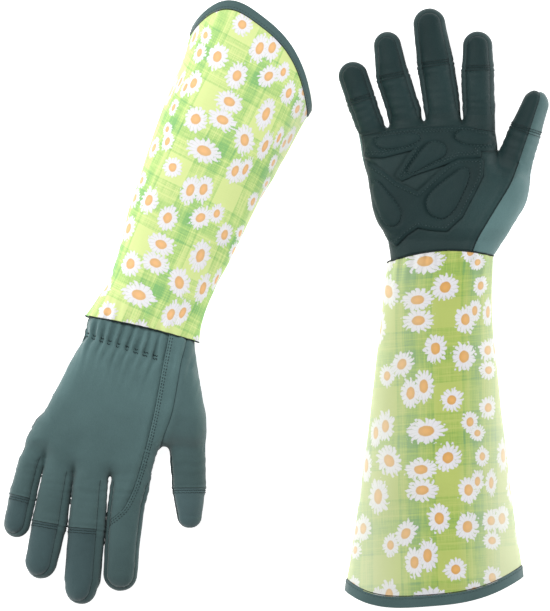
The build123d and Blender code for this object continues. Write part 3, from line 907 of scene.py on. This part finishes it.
def cut_hand(glove, skin):
    """Labels the skin by the piece of cloth it belongs to."""

    def reach(p):
        return glove.uv(p[:, 0], p[:, 1])[1]

    def past(line):
        return lambda p: -line_field(*glove.plan(p), line)

    skin.mark(lambda p: -7 - reach(p), 0, -1)
    kept = skin.label == 0
    skin.t, skin.label = skin.t[kept], skin.label[kept]
    upper, lower = (2, 1) if glove.palm_up else (1, 2)
    for i, digit in enumerate(glove.digits):
        code = 10 * (i + 1)

        def own():
            """Which triangles are free and nearest to this digit, and how far along it each one is."""
            middles = skin.middles()
            nearest = np.stack([d.field(*middles.T, glove.base)[0] for d in glove.digits]).argmin(axis=0)
            return (nearest == i) & (skin.label == 0), digit.place(middles)[0]

        mine, along = own()
        skin.label[mine & (np.abs(along - ROOT) < 12)] = UNSORTED
        skin.mark(lambda p: digit.place(p)[0] - ROOT, UNSORTED, code, 0)
        mine, along = own()
        skin.label[mine & (along > ROOT + 6)] = code
        skin.mark(lambda p: digit.level(p, glove.base) - digit.band[0], code, code + upper, code + 3)
        skin.mark(lambda p: -digit.level(p, glove.base) - digit.band[1], code + 3, code + lower)
        if glove.wraps(digit):
            skin.mark(past(WRAP_LINE), code + 1, code + 2)
            skin.mark(lambda p: digit.place(p)[1], code + 3, code + 2)
        else:
            for part in (1, 2):
                skin.mark(lambda p: digit.place(p)[0] - digit.tip_seam, code + part, code + 3 + part)
    # Scraps in the narrow gaps between two fingers go to the finger that they lie on
    for i, digit in enumerate(glove.digits):
        middles = skin.middles()
        on_it = np.abs(digit.field(*middles.T, glove.base)[0]) < 0.45
        beyond = digit.place(middles)[0] > ROOT + 12
        skin.label[(skin.label == 0) & beyond & on_it] = 10 * (i + 1) + 3
    upper, lower = (PALM, BACK) if glove.palm_up else (BACK, PALM)
    skin.mark(lambda p: p[:, 2] - glove.palm_middle(p[:, 0], p[:, 1])[0], 0, upper, lower)
    skin.mark(past(WRAP_LINE), BACK, WRAP)
    skin.mark(past(THUMB_LINE), WRAP, BASE)
    skin.mark(past(PALM_THUMB_LINE), PALM, BASE)

    def within(outline, margin):
        """Inside an outline, and that far from the hand's edge."""
        return lambda p: np.minimum(
            inside_field(*glove.plan(p), outline), inside_field(p[:, 0], p[:, 1], glove.outline) - margin
        )

    for patch, outline in ((KNUCKLE, UPPER_PATCH), (HEEL, HEEL_PATCH)):
        skin.mark(within(outline, PATCH_MARGIN), PALM, patch)
        for i in PATCH_PADS[patch]:
            skin.mark(within(PADS[i], PAD_MARGIN), patch, PAD + i)
    skin.mark(lambda p: ELASTIC - reach(p), BACK, GATHER)


def shape_hand(glove, skin):
    """Seams, gathers, quilting and creases. Returns the seam distances at each point."""
    p = skin.p
    u, v = glove.uv(p[:, 0], p[:, 1])
    plan = glove.plan(p)
    above = p[:, 2] - glove.palm_middle(p[:, 0], p[:, 1])[0]
    back = smooth_step((-above if glove.palm_up else above) / 5 + 0.5)

    def seam(line, side):
        return np.where(side, -line_field(*plan, line) * glove.scale, FAR)

    fields = {
        "reach": v,
        "wrap": seam(WRAP_LINE, back > 0.5),
        "thumb": seam(THUMB_LINE, back > 0.5),
        "palm_thumb": seam(PALM_THUMB_LINE, back < 0.5),
        "knuckle": inside_field(*plan, UPPER_PATCH) * glove.scale,
        "heel": inside_field(*plan, HEEL_PATCH) * glove.scale,
        "pads": np.stack([inside_field(*plan, pad) for pad in PADS]) * glove.scale,
        "off_side": inside_field(p[:, 0], p[:, 1], glove.outline) - PAD_MARGIN,
    }
    normals = vertex_normals(p, skin.t)
    owner = np.full(len(p), -1)
    for i in range(len(glove.digits)):
        owner[skin.t[(skin.label // 10 == i + 1) & (skin.label < UNSORTED)].ravel()] = i
    on_hand = owner < 0
    lift = 0.45 * noise(p, 26.0, 3) + 0.22 * noise(p, 9.0, 5) + 0.07 * noise(p, 3.4, 7)
    wrap_end = smooth_step((150 - v) / 12)
    lift += np.where(on_hand | (owner == 3), seam_cut(fields["wrap"]) * back * wrap_end, 0)
    lift += np.where(on_hand, seam_cut(fields["thumb"]) * back, 0)
    lift += np.where(on_hand, seam_cut(fields["palm_thumb"], 1.0) * (1 - back), 0)
    lift += np.where(on_hand, -0.6 * bell(above, 1.2), 0)
    # The elastic draws the back in, with gathers on both sides of it
    wave = np.cos(2 * pi * u / 7.4 + 1.5 * noise(p, 16.0, 11))
    wave = wave + 0.35 * np.cos(2 * pi * u / 4.3 + noise(p, 11.0, 12))
    from_band = v - ELASTIC
    fall = np.where(from_band < 0, bell(from_band, 17), np.exp(-np.maximum(from_band, 0) / 11))
    flat = smooth_step(-fields["wrap"] / 8) * 0.75 + 0.25
    lift += on_hand * back * (1.45 * wave * fall - 2.3 * bell(from_band, 4.5)) * flat
    fields["valley"] = 0.35 - wave
    # The hand's end goes in under the sleeve's
    first, last = (np.array(glove.sleeve[side][0], float) for side in ("left", "right"))
    width = np.hypot(*(last - first))
    across = (last - first) / width
    gone = ((p[:, :2] - first) @ np.array((-across[1], across[0]))) * (-1 if glove.palm_up else 1)
    off_middle = np.clip(((p[:, :2] - first) @ across) / width * 2 - 1, -1, 1)
    tuck = smooth_step((gone + glove.sleeve["start_out"] * (1 - off_middle**2) + 0.5) / 2.5)
    # Puckers along the wrap's double stitching
    lift += on_hand * back * bell(fields["wrap"] - 2.4, 2.6) * 0.18 * np.cos(2 * pi * v / 3.4)
    for i, digit in enumerate(glove.digits):
        mine = owner == i
        q = p[mine]
        along, _ = digit.place(q)
        level = digit.level(q, glove.base)
        turn = smooth_step((along - ROOT) / 5)
        past_tip = along - digit.tip_seam
        part = 0 if glove.wraps(digit) else seam_cut(past_tip, -0.75) - 0.3 * bell(past_tip - 1.6, 0.9)
        part += turn * seam_cut(level - digit.band[0], 0.9)
        if digit.band[0]:
            part += turn * seam_cut(-level - digit.band[1], 0.9)
        creases = np.cos(2 * pi * along / 6.5 + 2 * noise(q, 12.0, 13)) * bell(along - 2, 11)
        part += 0.16 * creases * turn + 0.2 * noise(q * (1, 1, 0.4), 7.0, 17)
        part += 0.07 * np.cos(2 * pi * along / 2.9) * bell(np.abs(level - digit.band[0]), 2.0) * turn
        lift[mine] += part
        own = {"along": np.zeros(len(p)), "level": np.zeros(len(p))}
        own["along"][mine], own["level"][mine] = along, level
        fields[f"on_{digit.name}"] = own
    for key in ("knuckle", "heel"):
        welt = 0.5 * bell(fields[key] - 1.4, 1.1) - 0.55 * bell(fields[key] + 1.0, 1.0)
        lift += on_hand * (1 - back) * welt
    # Quilting: the palm sinks round the pads
    lift += on_hand * (1 - back) * -0.8 * bell(np.max(fields["pads"], axis=0) + 1.0, 1.4)
    lift = lift * (1 - tuck) - 2.6 * tuck
    skin.p = true_place(p + normals * lift[:, None])
    low = skin.p[:, 2]
    skin.p[:, 2] = np.maximum(low, CLOTH * 0.2 + 0.1 * np.tanh(low))
    return fields


CORD = dict(gap=1.5, length=2.6, radius=0.3)  # stitches that join into one line


def make_hand(glove):
    name = glove.name
    skin = hand_surface(glove)
    cut_hand(glove, skin)
    fields = shape_hand(glove, skin)
    p, t, label = skin.p, skin.t, skin.label
    n = vertex_normals(p, t)

    def piece(part, labels, material, node=None, outer=0.0, inner=-CLOTH, fill=None):
        node = f"{name}_{node or part}"
        tris = t[np.isin(label, labels)]
        obj = closed_sheet(f"{name}_{part}_cloth", p, n, tris, outer, inner, MATERIALS[material])
        if fill is None:
            declare(obj, node)
        else:
            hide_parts(node)
        return obj

    def lines(field, level, labels):
        return isolines(p, n, t[np.isin(label, labels)], field, level)

    # Glove 2's backs and thumb take a lighter copy of the teal, and its palm a lighter copy of the dark cloth
    # (painted light); glove 1's thumb takes a darker copy (painted shade)
    teal, thumb, palm = ("back_2", "back_2", "palm") if glove.palm_up else ("teal", "thumb", "dark")
    pads = list(range(PAD, PAD + len(PADS)))
    made = [
        piece("back_panel", [BACK], teal),
        piece("palm_panel", [PALM, KNUCKLE, HEEL, *pads], palm),
        piece("index_wrap", [WRAP], teal, "side_gussets"),
        piece("thumb_base", [BASE], thumb, "side_gussets"),
        piece("wrist_gather", [GATHER], teal),
    ]
    for part, patch in (("knuckle_patch", KNUCKLE), ("heel_patch", HEEL)):
        labels = [patch, *(PAD + i for i in PATCH_PADS[patch])]
        made.append(piece(part, labels, "patch", outer=PATCH, inner=0.05))
    dome = np.clip(np.minimum(np.max(fields["pads"], axis=0), fields["off_side"]) / 5.0, 0, 1)
    dome = PATCH + 0.1 + PAD_RISE * np.sqrt(1 - (1 - dome) ** 2)
    made.append(piece("palm_pads", pads, "pad", outer=dome, inner=PATCH * 0.5, fill=0.45))

    stitches, seams, elastic, quilting = Thread(), Thread(), Thread(), Thread()
    seams.row(lines(fields["wrap"], 0.05, [WRAP, GATHER]), lift=-0.1, **CORD)
    for level in DOUBLE_ROW:
        stitches.row(lines(fields["wrap"], level, [WRAP, GATHER]))
    seams.row(lines(fields["thumb"], 0.05, [WRAP, BASE]), lift=-0.1, **CORD)
    seams.row(lines(fields["palm_thumb"], 0.05, [BASE, PALM]), lift=0.1, **{**CORD, "radius": 0.4})
    for level in (-1.3, 1.3):
        rows = lines(np.where(fields["valley"] > 0, fields["reach"] - ELASTIC, FAR), level, [BACK, GATHER])
        elastic.row(rows, gap=1.5, length=2.3, radius=0.36, zigzag=0.7, lift=0.05)
    for key, patch, levels in (("knuckle", KNUCKLE, (1.9, 3.7)), ("heel", HEEL, (1.9,))):
        for level in levels:
            rows = lines(fields[key], level, [patch])
            quilting.row(rows, gap=2.7, length=1.5, radius=0.4, lift=PATCH + 0.1)
        seams.row(lines(fields[key], 0.1, [patch, PALM]), lift=0.1, **CORD)
    for i, pad in enumerate(fields["pads"]):
        patch = KNUCKLE if i in PATCH_PADS[KNUCKLE] else HEEL
        quilting.row(lines(pad, -1.1, [patch]), gap=2.7, length=1.5, radius=0.34, lift=PATCH)
    made += [
        stitches.build(f"{name}_hand_stitches", MATERIALS["thread"]),
        seams.build(f"{name}_hand_seams", MATERIALS["thread"]),
        quilting.build(f"{name}_palm_stitches", MATERIALS["patch_thread"]),
        elastic.build(f"{name}_elastic_stitches", MATERIALS["thread"]),
    ]
    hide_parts(f"{name}_wrist_elastic")
    for obj in made:
        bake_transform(obj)

    for i, digit in enumerate(glove.digits):
        code, part = 10 * (i + 1), digit.name
        wrapped, tips = glove.wraps(digit), f"{part}_tip_patches"
        strip = thumb if part == "thumb" else teal
        made = [
            piece(f"{part}_back", [code + 1], strip),
            piece(f"{part}_palm", [code + 2], teal if wrapped else "dark"),
        ]
        if wrapped:
            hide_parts(f"{name}_{tips}")
        else:
            # Glove 1's tip caps take darker copies of the teal: painted shade
            cap = teal if glove.palm_up else "thumb_tip" if part == "thumb" else "tip"
            made.append(piece(f"{part}_tip_back", [code + 4], cap, tips))
            made.append(piece(f"{part}_tip_palm", [code + 5], "patch", tips))
        if digit.band[0]:
            # Glove 2's fourchettes, between the fingers, take a darker copy of the cloth: painted shade
            side = "side" if glove.palm_up else teal
            made.append(piece(f"{part}_fourchette", [code + 3], side))
        own = [code + j for j in (1, 2, 3, 4, 5)]
        thread, seam = Thread(), Thread()
        f = fields[f"on_{part}"]
        seam.row(lines(f["level"], digit.band[0], own), lift=-0.1, **CORD)
        if digit.band[0]:
            seam.row(lines(f["level"], -digit.band[1], own), lift=-0.1, **CORD)
        if wrapped:
            seam.row(lines(fields["wrap"], 0.05, [code + 2]), lift=-0.1, **CORD)
            for level in DOUBLE_ROW:
                thread.row(lines(fields["wrap"], level, [code + 2]))
        else:
            caps = [code + 4, code + 5]
            seam.row(lines(f["along"], digit.tip_seam + 0.1, caps), lift=-0.1, **CORD)
            for step in (2.2, 4.0):
                rows = lines(f["along"], digit.tip_seam + step, caps)
                thread.row(rows, gap=1.8, length=2.1, radius=0.26, zigzag=0.3)
        made += [
            seam.build(f"{name}_{part}_seams", MATERIALS["thread"]),
            thread.build(f"{name}_{part}_stitches", MATERIALS["thread"]),
        ]
        for obj in filter(None, made):
            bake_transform(obj)


# ---------------------------------------------------------------- sleeves
def along_line(line, share):
    """Points at those shares of a line's length, running straight on past its ends."""
    steps = np.linalg.norm(np.diff(line, axis=0), axis=1)
    reach = np.concatenate(([0], np.cumsum(steps)))
    at = share * reach[-1]
    out = np.stack([np.interp(at, reach, line[:, i]) for i in (0, 1)], axis=-1)
    first, last = line[1] - line[0], line[-1] - line[-6]
    out += np.minimum(at, 0)[..., None] * first / np.linalg.norm(first)
    out += np.maximum(at - reach[-1], 0)[..., None] * last / np.linalg.norm(last)
    return out, reach[-1]


def make_sleeve(glove):
    """A tube with an upper and a lower panel, wavy and gathered a little where it starts."""
    name, d = glove.name, glove.sleeve
    turn = np.arange(AROUND) * 2 * pi / AROUND
    c, s = (np.sign(w) * np.abs(w) ** (2 / SLEEVE_POWER) for w in (np.cos(turn), np.sin(turn)))
    left, right = (spline(d[side], False, 2.0) for side in ("left", "right"))
    peak = d["hem_peak"]
    skew = np.where(c < peak, (peak - c) / (1 + peak), (c - peak) / (1 - peak))
    length = (along_line(left, np.array([0.0]))[1] + along_line(right, np.array([0.0]))[1]) / 2
    hem = 1 + d["hem_out"] / length * (1 - skew ** np.where(c < peak, 3.4, 2.5))
    first = -d["start_out"] / length * (1 - c**2)
    f = first + (hem - first) * np.linspace(0, 1, ROWS)[:, None]
    (lp, ll), (rp, rl) = along_line(left, f), along_line(right, f)
    wide = (c + 1) / 2
    xy = lp * (1 - wide)[None, :, None] + rp * wide[None, :, None]
    heights = np.interp(f, *d["heights"])
    floor = CLOTH + 0.3 + d["lift"] * (1 - smooth_step(f * 3))
    z = floor + (heights - floor) / 2 * (1 + s)
    p = np.concatenate((xy, z[..., None]), axis=2)
    v = f * (ll * (1 - wide) + rl * wide)
    # Across the cloth, from the middle of the upper or lower layer
    ring = np.linalg.norm(np.roll(p, -1, axis=1) - p, axis=2)
    reach = np.concatenate((np.zeros((ROWS, 1)), np.cumsum(ring, axis=1)[:, :-1]), axis=1)
    top, under = AROUND // 4, 3 * AROUND // 4
    u = np.where(s >= 0, reach[:, top : top + 1] - reach, reach - reach[:, under : under + 1])
    u = u * (1 if glove.palm_up else -1)
    start = np.tile(v[0], ROWS)
    cell = np.arange(ROWS * AROUND).reshape(ROWS, AROUND)
    nxt = np.roll(cell, -1, axis=1)
    a, b, e, g = cell[:-1], nxt[:-1], nxt[1:], cell[1:]
    quads = np.stack((a, b, e, g), axis=-1)
    p, v, u = p.reshape(-1, 3), v.ravel(), u.ravel()
    tris = np.concatenate((quads[..., [0, 1, 2]], quads[..., [0, 2, 3]]), axis=-1).reshape(-1, 3)
    if (vertex_normals(p, tris)[:, 2] * np.tile(s, ROWS)).sum() < 0:
        tris, quads = tris[:, ::-1], quads[..., ::-1]
    n = vertex_normals(p, tris)
    side = np.minimum(np.abs(np.tile(c, ROWS) - 1), np.abs(np.tile(c, ROWS) + 1)) * 50
    ruck = np.cos(2 * pi * u / 9.0 + 1.6 * noise(p, 16.0, 21)) * np.exp(-np.maximum(v, 0) / 16)
    lift = 0.7 * ruck + 1.5 * noise(p, 55.0, 22) + 0.5 * noise(p, 20.0, 23) - 0.6 * bell(side, 1.5)
    p = p + n * lift[:, None]
    p[:, 2] = np.maximum(p[:, 2], CLOTH + 0.2)
    p = true_place(p)
    n = vertex_normals(p, tris)
    uv = np.stack((u, v), axis=1)
    upper = np.tile((s[None, :] + np.roll(s, -1)[None, :]) > 0, (ROWS - 1, 1))
    edge = (np.arange(ROWS - 1) + 0.5)[:, None] / (ROWS - 1)
    from_hem = (1 - edge) * (hem - first)[None, :] * length
    printed, lining, binding = (MATERIALS[key] for key in (f"{name}_print", f"{name}_lining", "binding"))
    made = []
    for side_name, mine in ((glove.up, upper), (glove.down, ~upper)):
        faces = quads[mine & (from_hem > d["binding"] * 0.5)]
        panel = f"{name}_sleeve_{side_name}"
        made.append(closed_sheet(f"{panel}_cloth", p, n, faces, 0.0, -CLOTH, printed, lining, uv))
        declare(made[-1], panel)
    hem_name, round_hem = f"{name}_hem_binding", ring[-1].sum()
    faces = quads[from_hem < d["binding"]]
    made.append(closed_sheet(f"{hem_name}_cloth", p, n, faces, 0.75, -CLOTH - 0.7, binding, binding, uv))
    declare(made[-1], hem_name, length=round_hem / 1000)
    distance = ((1 - np.linspace(0, 1, ROWS))[:, None] * (hem - first)[None, :] * length).ravel()
    stitches, seams = Thread(), Thread()
    seams.row(isolines(p, n, tris, distance, d["binding"] + 0.3), gap=1.5, length=2.6, radius=0.34, lift=0.15)
    stitches.row(isolines(p, n, tris, distance, d["binding"] - 1.8), lift=0.85)
    seams.row(isolines(p, n, tris, v - start, 0.5), gap=1.5, length=2.6, radius=0.6, lift=0.2)
    made.append(stitches.build(f"{name}_sleeve_stitches", MATERIALS["pale_thread"]))
    made.append(seams.build(f"{name}_sleeve_seams", MATERIALS["thread"]))
    for obj in made:
        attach(obj, f"{name}_sleeve")


# Pale ground, stripe, darkest green, orange, petals, and a painted highlight that pales the print towards its
# sides (from, to, most)
PRINTS = {
    "glove_1": (
        (0.74, 0.86, 0.35), (0.50, 0.735, 0.24), (0.26, 0.56, 0.19), (0.95, 0.56, 0.25), (0.89, 0.885, 0.91),
        ((-50, -64, 0.25),),
    ),
    # glove 2: the same print in darker colours, painted shade
    "glove_2": (
        (0.48, 0.57, 0.15), (0.34, 0.50, 0.105), (0.175, 0.36, 0.11), (0.80, 0.43, 0.13), (0.78, 0.775, 0.81),
        ((2, -54, 0.45), (18, 56, 0.5)),
    ),
}  # fmt: skip
for glove in (GLOVE_1, GLOVE_2):
    for key, inside in ((f"{glove.name}_print", False), (f"{glove.name}_lining", True)):
        MATERIALS[key] = print_material(key, glove.sleeve["print_at"], inside, *PRINTS[glove.name])
    make_hand(glove)
    make_sleeve(glove)


# ---------------------------------------------------------------- stage
def area_light(name, place, size, power, colour=(1, 1, 1)):
    data = bpy.data.lights.new(name, "AREA")
    data.shape, data.size, data.energy, data.color = "DISK", size, power, colour
    obj = bpy.data.objects.new(name, data)
    obj.location = place
    obj.rotation_euler = (-Vector(place)).to_track_quat("-Z", "Y").to_euler()
    bpy.context.scene.collection.objects.link(obj)


floor_shader = Shader("floor")
lit = floor_shader.node("BsdfDiffuse", (0.85, 0.85, 0.85, 1)).outputs[0]
glow = floor_shader.node("Emission", (1, 1, 1, 1), 0.93).outputs[0]
floor_shader.node("OutputMaterial", floor_shader.node("AddShader", lit, glow).outputs[0])
corners = np.array([(-1, -1, 0), (1, -1, 0), (1, 1, 0), (-1, 1, 0)]) * FLOOR_REACH
floor = new_object("floor", corners, [(0, 1, 2, 3)], material=floor_shader.material)
area_light("overhead", (-0.5, 0.7, 1.5), 0.8, 22)
area_light("left", (-1.5, -0.2, 0.4), 0.6, 9)
area_light("right", (1.5, 0.1, 0.4), 0.6, 13)
world = bpy.data.worlds.new("studio")
world.use_nodes = True
background = world.node_tree.nodes["Background"]
background.inputs["Color"].default_value = (1, 1, 1, 1)
background.inputs["Strength"].default_value = 0.18
scene = bpy.context.scene
scene.world = world
scene.view_settings.view_transform = "Standard"
scene.view_settings.look = "None"

camera_data = bpy.data.cameras.new("camera")
camera_data.lens = LENS
camera = bpy.data.objects.new("camera", camera_data)
camera.location = (0, 0, CAMERA_HEIGHT / 1000)
scene.collection.objects.link(camera)
scene.camera = camera
